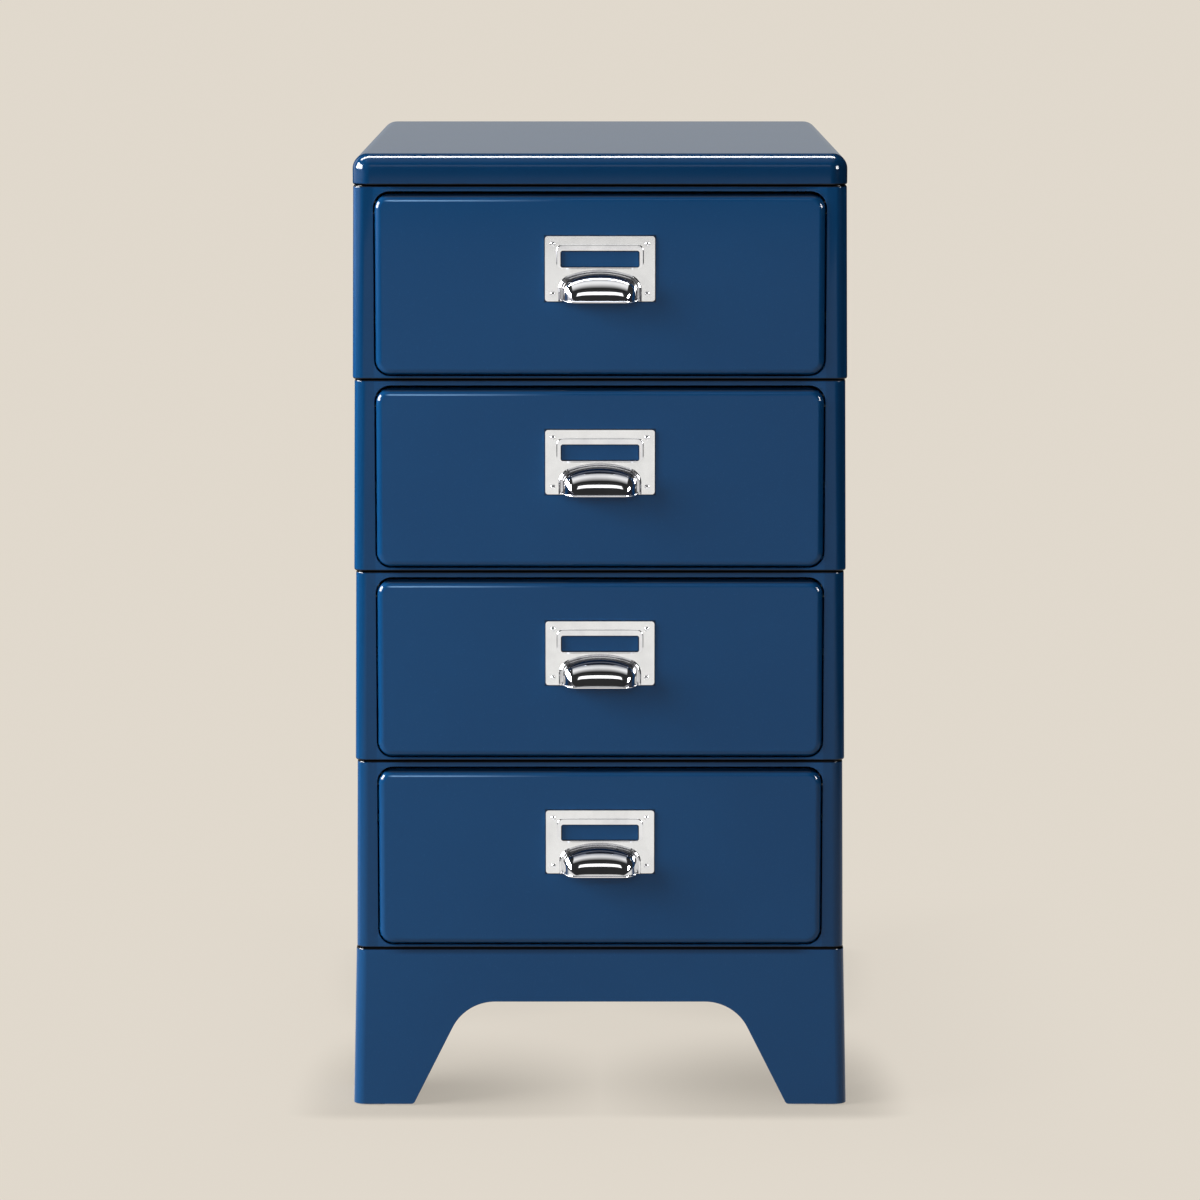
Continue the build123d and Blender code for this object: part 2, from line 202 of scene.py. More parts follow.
class Wire:
    def __init__(self, tree, socket=None):
        self.tree = tree
        self.socket = socket

    def plug(self, target, value):
        if isinstance(value, list) and isinstance(value[0], Wire):
            for wire in value:
                self.tree.links.new(wire.socket, target)
        elif isinstance(value, Wire):
            self.tree.links.new(value.socket, target)
        else:
            target.default_value = value

    def add(self, kind, settings=None, inputs=None, out=0):
        node = self.tree.nodes.new(kind)
        for key, value in (settings or {}).items():
            setattr(node, key, value)
        for key, value in (inputs or {}).items():
            self.plug(node.inputs[key], value)
        return Wire(self.tree, node.outputs[out])

    def maths(self, operation, a, b=0.0):
        return self.add("ShaderNodeMath", {"operation": operation}, {0: a, 1: b})

    def __add__(self, other):
        return self.maths("ADD", self, other)

    __radd__ = __add__

    def __sub__(self, other):
        return self.maths("SUBTRACT", self, other)

    def __rsub__(self, other):
        return self.maths("SUBTRACT", other, self)

    def __mul__(self, other):
        return self.maths("MULTIPLY", self, other)

    __rmul__ = __mul__

    def __truediv__(self, other):
        return self.maths("DIVIDE", self, other)

    def ramp(self, low, high):
        # 0 below low, 1 above high, eased between
        return self.add("ShaderNodeMapRange", {"interpolation_type": "SMOOTHSTEP"},
                        {"Value": self, "From Min": low, "From Max": high})

    def noise(self, coords, scale, detail=2.0, rough=0.5):
        return self.add("ShaderNodeTexNoise", {"noise_dimensions": "3D"},
                        {"Vector": coords, "Scale": scale, "Detail": detail, "Roughness": rough})

    def blend(self, factor, a, b):
        return self.add("ShaderNodeMix", {"data_type": "RGBA"}, {0: factor, 6: a, 7: b}, out=2)

    def bump(self, height, strength, distance):
        return self.add("ShaderNodeBump", None, {"Strength": strength, "Distance": distance, "Height": height})

    def axes(self, vector):
        # x, y and z of a vector
        split = self.add("ShaderNodeSeparateXYZ", None, {0: vector}).socket.node
        return [Wire(self.tree, socket) for socket in split.outputs]


def geometryTree(name, labels):
    # geometry node tree with named number inputs, as wires
    tree = bpy.data.node_groups.new(name, "GeometryNodeTree")
    tree.interface.new_socket("Geometry", in_out="INPUT", socket_type="NodeSocketGeometry")
    tree.interface.new_socket("Geometry", in_out="OUTPUT", socket_type="NodeSocketGeometry")
    for label in labels:
        tree.interface.new_socket(label, in_out="INPUT", socket_type="NodeSocketFloat")
    group = tree.nodes.new("NodeGroupInput")
    return tree, Wire(tree), {socket.name: Wire(tree, socket) for socket in group.outputs if socket.name}


def closeTree(tree, wire, geometry, material):
    real = wire.add("GeometryNodeRealizeInstances", None, {"Geometry": geometry})
    dressed = wire.add("GeometryNodeSetMaterial", None, {"Geometry": real, "Material": material})
    output = tree.nodes.new("NodeGroupOutput")
    wire.plug(output.inputs[0], dressed)
    return tree


def onPoints(wire, points, part):
    return wire.add("GeometryNodeInstanceOnPoints", None, {"Points": points, "Instance": part})


def bar(wire, axis, radius, length, middle, sides):
    # cylinder or prism along Y (1) or Z (2), with its middle that far along
    made = wire.add("GeometryNodeMeshCylinder", {"fill_type": "NGON"},
                    {"Vertices": sides, "Radius": radius, "Depth": length})
    place = wire.add("ShaderNodeCombineXYZ", None, {axis: middle})
    turn = (math.pi / 2, 0.0, 0.0) if axis == 1 else (0.0, 0.0, 0.0)
    return wire.add("GeometryNodeTransform", None, {"Geometry": made, "Translation": place, "Rotation": turn})


def grow(obj, tree, values):
    # runs the tree on the object's own points or edges and freezes the result
    run = obj.modifiers.new("grow", "NODES")
    run.node_group = tree
    for item in tree.interface.items_tree:
        if item.in_out == "INPUT" and item.name in values:
            run[item.identifier] = values[item.name]
    settle(obj)
    smooth(obj)
    return obj


def newMaterial(name):
    material = bpy.data.materials.new(name)
    material.use_nodes = True
    tree = material.node_tree
    shader = tree.nodes["Principled BSDF"]
    wire = Wire(tree)
    coords = wire.add("ShaderNodeTexCoord", out="Object")
    return material, shader, wire, coords


window = {"width": 45.6 * mm, "height": 9.8 * mm, "drop": 8.3 * mm, "corner": 1.4 * mm,
          "plate": 1.0 * mm}  # of the pulls, with the thickness of the plate round it
paint = {
    "colour": (0.0042, 0.0475, 0.1390, 1.0), "deep": (0.0038, 0.0445, 0.1320, 1.0),
    "dusty": (0.00925, 0.063375, 0.17775, 1.0), "paintedShadeColour": (0.0002, 0.0004, 0.0010, 1.0),
    "drift": (9.0, 3.0), "driftRange": (0.35, 0.65),  # noise scale and detail, and the part of it that counts
    "speck": (900.0, 1.0), "speckRange": (0.62, 0.78), "speckShare": 0.35,
    "wipe": (28.0, 4.0, 0.6), "wipeRange": (0.3, 0.75), "wipeRough": 0.006,
    "roughness": 0.08, "gloss": 0.18,
    "frontDepth": 2.0 * mm,  # behind the casings' faces, still counted as front
    "seam": (0.7 * mm, 1.25 * mm), "outline": (0.2 * mm, 1.1 * mm),  # painted shade lines, from dark to unshaded
    "lineDepth": 0.8, "rail": (1.5 * mm, 4.5 * mm), "railEnd": (112 * mm, 128 * mm), "railShade": 0.45,
    # painted highlight line on the drawer fronts: its colour, and where it lies
    "edge": (0.150, 0.300, 0.530, 1.0), "edgeFade": (-112 * mm, -14 * mm), "edgeDepth": 0.6 * mm,
    "edgeStart": (3.1 * mm, 3.6 * mm), "edgeStop": (3.8 * mm, 4.3 * mm),  # below the top of the drawer fronts
    "edgeTaper": 9.0 * mm, "edgeEnd": 5.0 * mm,
    "lidShade": 0.64, "frameShade": 0.80,  # painted shade: the lid and the casings' frames are darkened
    "frameStart": 0.4 * mm, "frameFull": 1.2 * mm,  # outside the drawer fronts
    "brow": (0.9 * mm, 2.5 * mm), "browEnd": 6.0 * mm, "browShade": 0.15,  # painted shade along the drawer fronts' top edges
}


def panDrop(wire, z):
    # how far a height lies below the top of its drawer front
    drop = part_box("drawer_front_1")[1].z - z
    return drop - wire.maths("FLOOR", drop / pitch) * pitch


def paintedShade(wire, coords):
    # painted shade: dark lines in the seams between the units, on the rails, round the label plates and inside
    # their windows,
    # # and a darker lid, frames and tops of the drawer fronts; 1 is unshaded
    low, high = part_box("label_pull_1")
    lidFoot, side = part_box("lid")[0].z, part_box("drawer_front_1")[1].x
    x, y, z = wire.axes(coords)
    x = wire.maths("ABSOLUTE", x)

    def outside(middleZ, halfX, halfZ):
        # distance from a rectangle that every unit has at the same height
        return wire.maths("MAXIMUM", x - halfX, wire.maths("PINGPONG", z - middleZ, pitch / 2) - halfZ)

    front = wire.maths("LESS_THAN", y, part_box("casing_1")[0].y + paint["frontDepth"])
    onLid = wire.maths("GREATER_THAN", z, lidFoot)
    under = wire.maths("LESS_THAN", z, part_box("leg_base")[1].z)
    onUnit = front * (1 - under) * (1 - onLid)
    seam = wire.maths("PINGPONG", z - lidFoot, pitch / 2)
    rail = (1 - seam.ramp(*paint["rail"])) * (1 - x.ramp(*paint["railEnd"])) * (1 - onLid) * front
    seam = seam.ramp(*paint["seam"]) * (1 - rail * paint["railShade"])
    plate = outside((low.z + high.z) / 2, high.x, (high.z - low.z) / 2).ramp(*paint["outline"])
    windowZ = high.z - window["drop"] - window["height"] / 2
    hole = outside(windowZ, window["width"] / 2, window["height"] / 2)
    inside = (hole * -1).ramp(*paint["outline"])
    face = wire.maths("MAXIMUM", wire.maths("MAXIMUM", plate, inside), wire.maths("MAXIMUM", under, 1 - front))
    # painted shade on the frames beside the drawer fronts
    beside = x.ramp(side + paint["frameStart"], side + paint["frameFull"]) * onUnit
    # painted shade along the top of each drawer front, under the rail
    brow = (1 - panDrop(wire, z).ramp(*paint["brow"])) * (1 - x.ramp(side - paint["browEnd"], side)) * onUnit
    shade = onLid * (paint["lidShade"] - 1) + beside * (paint["frameShade"] - 1)
    shade = shade + brow * (paint["browShade"] - 1) + 1
    return seam * (face * paint["lineDepth"] + (1 - paint["lineDepth"])) * shade


def paintedHighlight(wire, coords):
    # painted highlight: a lighter line where the upper rounding of each drawer front meets its face, strongest
    # at the left
    low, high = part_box("drawer_front_1")
    x, y, z = wire.axes(coords)
    drop = panDrop(wire, z)
    line = drop.ramp(*paint["edgeStart"]) * (1 - drop.ramp(*paint["edgeStop"]))
    ends = 1 - wire.maths("ABSOLUTE", x).ramp(high.x - paint["edgeTaper"], high.x - paint["edgeEnd"])
    outer = wire.maths("LESS_THAN", y, low.y + paint["edgeDepth"])
    return line * ends * (1 - x.ramp(*paint["edgeFade"])) * outer


def enamel(name):
    # gloss stoving enamel: slight drift in tone, hardly any dust, faint wipe marks, with painted shade and a
    # painted highlight in its colour
    material, shader, wire, coords = newMaterial(name)
    drift = wire.noise(coords, *paint["drift"]).ramp(*paint["driftRange"])
    speck = wire.noise(coords, *paint["speck"]).ramp(*paint["speckRange"])
    unshaded = wire.blend(drift, paint["deep"], paint["colour"])
    unshaded = wire.blend(speck * paint["speckShare"], unshaded, paint["dusty"])
    # painted highlight line along the top of each drawer front
    unshaded = wire.blend(paintedHighlight(wire, coords), unshaded, paint["edge"])
    # painted shade in seams, on rails, round plates and windows, on lid, frames and under the rails
    wire.plug(shader.inputs["Base Color"], wire.blend(paintedShade(wire, coords), paint["paintedShadeColour"], unshaded))
    wipe = wire.noise(coords, *paint["wipe"]).ramp(*paint["wipeRange"])
    wire.plug(shader.inputs["Roughness"], wipe * paint["wipeRough"] + paint["roughness"])
    shader.inputs["Specular IOR Level"].default_value = paint["gloss"]
    return material


plating = {
    "colour": (0.52, 0.53, 0.54, 1.0), "dull": (0.4472, 0.4558, 0.4644, 1.0), "roughness": 0.26,
    "stretch": (40.0, 40.0, 900.0), "grain": (3.0, 3.0, 0.65), "grainSwing": 0.18, "bump": (0.03, 0.1 * mm),
    "cloud": (60.0, 3.0), "cloudRange": (0.4, 0.7), "cloudShare": 0.6, "cloudSwing": 0.09,
}


def brightMetal(name):
    # plated steel with faint rolling lines
    material, shader, wire, coords = newMaterial(name)
    lines = wire.add("ShaderNodeMapping", None, {"Vector": coords, "Scale": plating["stretch"]})
    grain = wire.noise(lines, *plating["grain"])
    cloud = wire.noise(coords, *plating["cloud"])
    patchy = cloud.ramp(*plating["cloudRange"]) * plating["cloudShare"]
    wire.plug(shader.inputs["Base Color"], wire.blend(patchy, plating["colour"], plating["dull"]))
    rough = grain * plating["grainSwing"] + cloud * plating["cloudSwing"] + plating["roughness"]
    wire.plug(shader.inputs["Roughness"], rough)
    wire.plug(shader.inputs["Normal"], wire.bump(grain, *plating["bump"]))
    shader.inputs["Metallic"].default_value = 1.0
    return material


chrome = {
    "mirror": (0.86, 0.86, 0.87, 1.0), "mirrorDull": (0.76, 0.76, 0.78, 1.0),
    "mirrorRough": 0.035, "mirrorSwing": 0.03,
    "satin": (0.86, 0.86, 0.86, 1.0), "satinDull": (0.80, 0.80, 0.80, 1.0),
    "satinRough": 0.06, "satinSwing": 0.03,
    "plateGrey": 0.08,  # share of the plate's light that scatters evenly
    "mirrorAt": 0.30 * mm, "satinAt": 0.08 * mm,  # in front of the plate's face
    "stretch": (30.0, 30.0, 1200.0), "grain": (4.0, 3.0, 0.65), "bump": (0.006, 0.1 * mm),
    "cloud": (90.0, 3.0), "cloudRange": (0.35, 0.75),
    # painted dark reflection on the cup's roof near the plate
    "roof": (0.040, 0.056, 0.100, 1.0), "roofTurn": (0.62, 0.80), "roofStart": 1.2 * mm, "roofShare": 0.85,
}


def stampedChrome(name):
    # satin plate that turns to a mirror on the cup, which stands in front of it, with a painted dark reflection
    # on its roof
    material, shader, wire, coords = newMaterial(name)
    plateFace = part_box("label_pull_1")[1].y - window["plate"]
    depth = wire.axes(coords)[1]
    plate = depth.ramp(plateFace - chrome["mirrorAt"], plateFace - chrome["satinAt"])
    lines = wire.add("ShaderNodeMapping", None, {"Vector": coords, "Scale": chrome["stretch"]})
    grain = wire.noise(lines, *chrome["grain"])
    cloud = wire.noise(coords, *chrome["cloud"])
    patchy = cloud.ramp(*chrome["cloudRange"])
    shine = wire.blend(patchy, chrome["mirror"], chrome["mirrorDull"])
    satin = wire.blend(patchy, chrome["satin"], chrome["satinDull"])
    upward = wire.axes(wire.add("ShaderNodeTexCoord", out="Normal"))[2].ramp(*chrome["roofTurn"])
    # painted dark reflection where the cup's roof faces up
    roof = upward * (1 - depth.ramp(plateFace - chrome["roofStart"], plateFace - chrome["mirrorAt"]))
    shine = wire.blend(roof * chrome["roofShare"], shine, chrome["roof"])
    wire.plug(shader.inputs["Base Color"], wire.blend(plate, shine, satin))
    rough = grain * chrome["satinSwing"] + chrome["satinRough"]
    clear = cloud * chrome["mirrorSwing"] + chrome["mirrorRough"]
    wire.plug(shader.inputs["Roughness"], rough * plate + clear * (1 - plate))
    wire.plug(shader.inputs["Metallic"], 1 - plate * chrome["plateGrey"])
    wire.plug(shader.inputs["Normal"], wire.bump(grain * plate, *chrome["bump"]))
    return material


plastic = {"dark": (0.012, 0.012, 0.013, 1.0), "light": (0.026, 0.026, 0.028, 1.0), "cloud": (40.0, 2.0),
           "grain": (1400.0, 2.0), "grainSwing": 0.2, "roughness": 0.45, "bump": (0.25, 0.2 * mm)}


def blackPlastic(name):
    material, shader, wire, coords = newMaterial(name)
    grain = wire.noise(coords, *plastic["grain"])
    cloud = wire.noise(coords, *plastic["cloud"])
    wire.plug(shader.inputs["Base Color"], wire.blend(cloud, plastic["dark"], plastic["light"]))
    wire.plug(shader.inputs["Roughness"], grain * plastic["grainSwing"] + plastic["roughness"])
    wire.plug(shader.inputs["Normal"], wire.bump(grain, *plastic["bump"]))
    return material


bluePaint = enamel("bluePaint")
pullChrome = stampedChrome("pullChrome")
zinc = brightMetal("zinc")
glidePlastic = blackPlastic("glidePlastic")
print("materials ready")


# lid

lid = {"overhang": 0.4 * mm, "corner": 10.5 * mm, "leastCorner": 1.2 * mm, "roll": 9.0 * mm, "fold": 1.3 * mm,
       "flange": 15 * mm, "gauge": 1.0 * mm, "cutEdge": 0.25 * mm,
       "cornerSteps": 14, "rollSteps": 14, "foldSteps": 4}


def makeLid():
    low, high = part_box("lid")
    halfX, halfY = (high.x - low.x) / 2, (high.y - low.y) / 2
    centre = ((low.x + high.x) / 2, (low.y + high.y) / 2, low.z)
    tall = high.z - low.z
    profile = [(lid["flange"], 0.0)] + foldUp(lid["fold"], lid["foldSteps"])
    profile += foldOver(lid["roll"], tall, lid["rollSteps"])
    bm = bmesh.new()
    rings = []
    for inset, height in profile:
        radius = max(lid["corner"] - inset, lid["leastCorner"])
        outline = roundedRing(halfX - inset, halfY - inset, radius, lid["cornerSteps"])
        rings.append(ringVerts(bm, [level(p, height, centre) for p in outline]))
    loft(bm, rings)
    bm.faces.new(rings[-1])
    piece = sheetPiece("lidShell", bm, bluePaint, lid["gauge"], lid["cutEdge"])
    fit(piece, "cabinet", "blue_paint", "lid")


makeLid()
print("lid done")


# casings

casing = {"lean": 1.1 * mm, "corner": 6.8 * mm, "leastCorner": 1.0 * mm, "fold": 1.3 * mm, "flange": 15 * mm,
          "openWidth": 260.8 * mm, "openLow": 2.0 * mm, "openHigh": 108.6 * mm, "openCorner": 9.5 * mm,
          "gauge": 1.0 * mm, "cutEdge": 0.3 * mm, "cornerSteps": 10, "foldSteps": 4, "openSteps": 10}


def frontFrame(bm, lowRing, highRing, front, bottom):
    # flat frame round the drawer opening, in four faces that meet at the corners of the opening
    halfX = casing["openWidth"] / 2
    halfZ = (casing["openHigh"] - casing["openLow"]) / 2
    middle = (0, front, bottom + casing["openLow"] + halfZ)
    outline = roundedRing(halfX, halfZ, casing["openCorner"], casing["openSteps"])
    loop = ringVerts(bm, [facing(p, 0, middle) for p in outline])
    arc = casing["openSteps"] + 1
    splits = [corner * arc + arc // 2 for corner in range(4)]  # middle of each corner: br, tr, tl, bl
    outer = [lowRing[0], highRing[0], highRing[-1], lowRing[-1]]
    for corner in range(4):
        nxt = (corner + 1) % 4
        start, stop = splits[corner], splits[nxt]
        if stop <= start:
            stop += len(loop)
        inner = [loop[k % len(loop)] for k in range(start, stop + 1)]
        bm.faces.new([outer[corner], outer[nxt]] + inner[::-1])


def makeCasing(tier):
    low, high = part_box(f"casing_{tier}")
    halfY = (high.y - low.y) / 2
    tall = high.z - low.z
    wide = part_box("lid")[1].x - lid["overhang"] + casing["lean"]  # half width at the foot
    centre = (0, (low.y + high.y) / 2, low.z)
    profile = [(casing["flange"], 0.0)] + foldUp(casing["fold"], casing["foldSteps"])
    profile += foldOver(casing["fold"], tall, casing["foldSteps"]) + [(casing["flange"], tall)]
    bm = bmesh.new()
    rings = []
    for inset, height in profile:
        halfX = wide - casing["lean"] * height / tall - inset
        radius = max(casing["corner"] - inset, casing["leastCorner"])
        outline = roundedRing(halfX, halfY - inset, radius, casing["cornerSteps"])
        rings.append(ringVerts(bm, [level(p, height, centre) for p in outline]))
    sideRing = casing["foldSteps"] + 1
    loft(bm, rings, leaveOut={(sideRing, len(rings[0]) - 1)})
    frontFrame(bm, rings[sideRing], rings[sideRing + 1], low.y, low.z)
    piece = sheetPiece(f"casingShell_{tier}", bm, bluePaint, casing["gauge"], casing["cutEdge"])
    fit(piece, "cabinet", "blue_paint", f"casing_{tier}")


for tier in tiers:
    makeCasing(tier)
print("casings done")


# drawer fronts

pan = {"corner": 8.5 * mm, "round": 4.0 * mm, "gauge": 1.0 * mm, "cutEdge": 0.25 * mm,
       "cornerSteps": 12, "roundSteps": 10}


def makePan(tier):
    low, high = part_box(f"drawer_front_{tier}")
    halfX, halfZ = (high.x - low.x) / 2, (high.z - low.z) / 2
    centre = (0, high.y, (low.z + high.z) / 2)
    deep = high.y - low.y
    profile = [(0.0, 0.0)] + foldOver(pan["round"], deep, pan["roundSteps"])
    bm = bmesh.new()
    rings = []
    for inset, forward in profile:
        outline = roundedRing(halfX - inset, halfZ - inset, pan["corner"] - inset, pan["cornerSteps"])
        rings.append(ringVerts(bm, [facing(p, forward, centre) for p in outline]))
    loft(bm, rings)
    bm.faces.new(rings[-1])
    piece = sheetPiece(f"drawerPan_{tier}", bm, bluePaint, pan["gauge"], pan["cutEdge"])
    fit(piece, f"drawer_{tier}", "blue_paint", f"drawer_front_{tier}")


for tier in tiers:
    makePan(tier)
print("drawer fronts done")


# label pulls: half of the stamping is drawn and mirrored

pull = {
    "gauge": 0.9 * mm, "cutEdge": 0.18 * mm, "sharp": 60, "plateCorner": 1.6 * mm, "cornerSteps": 6,
    "frameSide": 2.4 * mm, "frameTop": 3.6 * mm, "frameFoot": 0.7 * mm, "frameRise": 0.35 * mm,
    "frameSteps": ((0.0, 0.0), (0.25 * mm, 0.8), (0.45 * mm, 0.97), (0.6 * mm, 1.0)),  # inset, part risen
    "footTrim": 0.8, "windowDip": 0.2 * mm,
    "ringWidth": 48 * mm, "ringHeight": 18.3 * mm, "ringCrown": 53 * mm, "ringCorner": 9 * mm,
    "beadWidth": 1.8 * mm, "beadRise": 1.0 * mm, "beadTurn": 0.93, "beadSteps": 14, "groove": 0.7 * mm,
    "cupInset": 2.3 * mm, "cupStart": 0.9 * mm, "cupReach": 13 * mm, "levelHalf": 22 * mm,
    "domeFlat": 13 * mm, "domeSquare": 6, "domeSteps": 26, "footSteps": 6, "arcSteps": 14,
    "lipRadius": 0.65 * mm, "lipSides": 14, "lipSink": 0.05 * mm,
}


def ringPath(inset):
    # left half of the ring's outline from its foot to the crown, as (x, z) above the plate's lower edge
    half = pull["ringWidth"] / 2
    corner = pull["ringCorner"]
    crown = pull["ringCrown"]
    crownZ = pull["ringHeight"] - crown
    cornerX = half - corner
    cornerZ = crownZ + math.sqrt((crown - corner) ** 2 - cornerX ** 2)
    tilt = math.atan2(cornerZ - crownZ, -cornerX)  # where corner and crown meet
    points = [(-half + inset, cornerZ * k / pull["footSteps"]) for k in range(pull["footSteps"])]
    arc = pull["arcSteps"]
    for k in range(arc + 1):
        turn = math.pi + (tilt - math.pi) * k / arc
        points.append((-cornerX + (corner - inset) * math.cos(turn),
                       cornerZ + (corner - inset) * math.sin(turn)))
    for k in range(1, arc + 1):
        turn = tilt + (math.pi / 2 - tilt) * k / arc
        points.append(((crown - inset) * math.cos(turn), crownZ + (crown - inset) * math.sin(turn)))
    points[-1] = (0.0, points[-1][1])
    return points


def beadProfile():
    # (inset, forward) from the plate over the bead into the groove round the cup
    bead, rise, steps = pull["beadWidth"], pull["beadRise"], pull["beadSteps"]
    turn = math.pi * pull["beadTurn"]
    profile = [(bead * k / steps, rise * math.sin(turn * k / steps)) for k in range(steps + 1)]
    return profile + [(pull["cupInset"], pull["groove"])]


def spine(x):
    # where a point of the cup's outline ends up on its front edge: as it is in the middle, drawn in at the ends
    square = pull["domeSquare"]
    return x / (1 + abs(x / pull["domeFlat"]) ** square) ** (1 / square)


def domePoint(x, z, s, c):
    # quarter ellipse from the outline of the cup to its front edge, as ((x, z), forward)
    middle = spine(x)
    forward = pull["cupStart"] + (pull["cupReach"] - pull["cupStart"]) * s
    crown = pull["ringHeight"] - pull["cupInset"]
    flatten = (1 - min(abs(x) / pull["levelHalf"], 1.0) ** 2) ** 2  # of the crown, away from the ends
    height = z + max(crown - z, 0.0) * s * flatten
    return (middle + (x - middle) * c, height * c), forward


def makePull(tier):
    low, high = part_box(f"label_pull_{tier}")
    wide, tall = high.x - low.x, high.z - low.z
    centre = (0, high.y - window["plate"], low.z)
    bm = bmesh.new()
    cupRings = [ringVerts(bm, [facing(p, forward, centre) for p in ringPath(inset)])
                for inset, forward in beadProfile()]
    outline = ringPath(pull["cupInset"])
    for sine, cosine in quarter(pull["domeSteps"]):
        cupRings.append(ringVerts(bm, [facing(*domePoint(x, z, sine, cosine), centre) for x, z in outline]))
    skin(bm, cupRings)
    # raised frame round the window, left half from the middle of its lower side to the middle of its upper side
    windowZ = tall - window["drop"] - window["height"] / 2
    rise = pull["frameRise"]
    steps = [(inset, rise * share, 1) for inset, share in pull["frameSteps"]]
    steps += [(0.0, rise, 0), (0.0, -pull["windowDip"], 0)]  # over the window's own edge
    rimRings = []
    for inset, forward, spread in steps:
        side, top = (pull["frameSide"] - inset) * spread, (pull["frameTop"] - inset) * spread
        foot = (pull["frameFoot"] - inset * pull["footTrim"]) * spread
        half = (window["height"] + top + foot) / 2
        outline = roundedRing(window["width"] / 2 + side, half, window["corner"] + side, pull["cornerSteps"])
        left = [p for p in outline if p[0] < 0][::-1]  # lower left round to upper left
        path = [(0.0, left[0][1])] + left + [(0.0, left[-1][1])]
        shift = windowZ + (top - foot) / 2
        rimRings.append(ringVerts(bm, [facing((x, z + shift), forward, centre) for x, z in path]))
    skin(bm, rimRings)
    # flat of the plate, left half
    outline = roundedRing(wide / 2, tall / 2, pull["plateCorner"], pull["cornerSteps"])
    left = [(x, z + tall / 2) for x, z in outline if x < 0]  # upper left down to lower left
    edge = ringVerts(bm, [facing(p, 0, centre) for p in [(0.0, tall)] + left])
    bm.faces.new(edge + cupRings[0] + rimRings[0])
    mirrored = bmesh.ops.duplicate(bm, geom=bm.verts[:] + bm.edges[:] + bm.faces[:])["geom"]
    copies = [g for g in mirrored if isinstance(g, bmesh.types.BMVert)]
    bmesh.ops.scale(bm, vec=(-1, 1, 1), verts=copies)
    bmesh.ops.reverse_faces(bm, faces=[g for g in mirrored if isinstance(g, bmesh.types.BMFace)])
    bmesh.ops.remove_doubles(bm, verts=bm.verts, dist=1e-6)
    piece = sheetPiece(f"labelPull_{tier}", bm, pullChrome, pull["gauge"], pull["cutEdge"], sharp=pull["sharp"])
    fit(piece, f"drawer_{tier}", "pull_chrome", f"label_pull_{tier}")


def lipTree():
    # a round bar along the edges of the mesh that comes in
    tree, wire, given = geometryTree("rolledLip", ("radius",))
    path = wire.add("GeometryNodeMeshToCurve", None, {"Mesh": given["Geometry"]})
    section = wire.add("GeometryNodeCurvePrimitiveCircle", None,
                       {"Resolution": pull["lipSides"], "Radius": given["radius"]})
    lip = wire.add("GeometryNodeCurveToMesh", None,
                   {"Curve": path, "Profile Curve": section, "Fill Caps": True})
    return closeTree(tree, wire, lip, pullChrome)


def makeLip(tier, tree):
    # rolled edge along the foot of the cup, from one side of the plate round the front to the other
    low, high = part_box(f"label_pull_{tier}")
    centre = (0, high.y - window["plate"], low.z + pull["lipRadius"])
    outer = pull["ringWidth"] / 2 - pull["cupInset"]
    curve = [domePoint(-outer, 0, sine, cosine) for sine, cosine in quarter(pull["domeSteps"])]
    side = [(x + pull["lipSink"], forward - pull["lipSink"]) for (x, z), forward in curve]
    path = [(side[0][0], 0.0)] + side + [(-x, forward) for x, forward in side[::-1]] + [(-side[0][0], 0.0)]
    bm = bmesh.new()
    verts = [bm.verts.new(facing((x, 0), forward, centre)) for x, forward in path]
    for a, b in zip(verts, verts[1:]):
        bm.edges.new((a, b))
    piece = grow(newObject(f"pullLip_{tier}", bm, pullChrome), tree, {"radius": pull["lipRadius"]})
    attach(piece, f"drawer_{tier}")


rivet = {"inset": 4.4 * mm, "radius": 1.4 * mm, "height": 0.7 * mm, "shank": 0.8 * mm, "tail": 0.6 * mm,
         "sides": 28, "rings": 14, "shankSides": 16}


def rivetTree():
    # domed head in front, shank through the sheets, flat tail behind, on every point
    tree, wire, given = geometryTree("rivets", ("radius", "height", "shank", "grip", "tail"))
    ball = wire.add("GeometryNodeMeshUVSphere", None,
                    {"Segments": rivet["sides"], "Rings": rivet["rings"], "Radius": 1.0})
    flat = wire.add("ShaderNodeCombineXYZ", None, {0: given["radius"], 1: given["height"], 2: given["radius"]})
    head = wire.add("GeometryNodeTransform", None, {"Geometry": ball, "Scale": flat})
    shank = bar(wire, 1, given["shank"], given["grip"], given["grip"] * 0.5, rivet["shankSides"])
    tail = bar(wire, 1, given["radius"], given["tail"], given["grip"] + given["tail"] * 0.5, rivet["sides"])
    whole = wire.add("GeometryNodeJoinGeometry", None, {"Geometry": [head, shank, tail]})
    return closeTree(tree, wire, onPoints(wire, given["Geometry"], whole), pullChrome)


def makeRivets(tier, tree):
    low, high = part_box(f"label_pull_{tier}")
    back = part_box(f"pull_rivets_{tier}")[1].y
    face = high.y - window["plate"]
    reachX = (high.x - low.x) / 2 - rivet["inset"]
    bm = bmesh.new()
    for x in (-reachX, reachX):
        for z in (low.z + rivet["inset"], high.z - rivet["inset"]):
            bm.verts.new((x, face, z))
    values = {"radius": rivet["radius"], "height": rivet["height"], "shank": rivet["shank"],
              "grip": back - rivet["tail"] - face, "tail": rivet["tail"]}
    piece = grow(newObject(f"pullRivets_{tier}", bm, pullChrome), tree, values)
    fit(piece, f"drawer_{tier}", "pull_chrome", f"pull_rivets_{tier}")


lips, rivets = lipTree(), rivetTree()
for tier in tiers:
    makePull(tier)
    makeLip(tier, lips)
    makeRivets(tier, rivets)
print("label pulls done")


# leg base

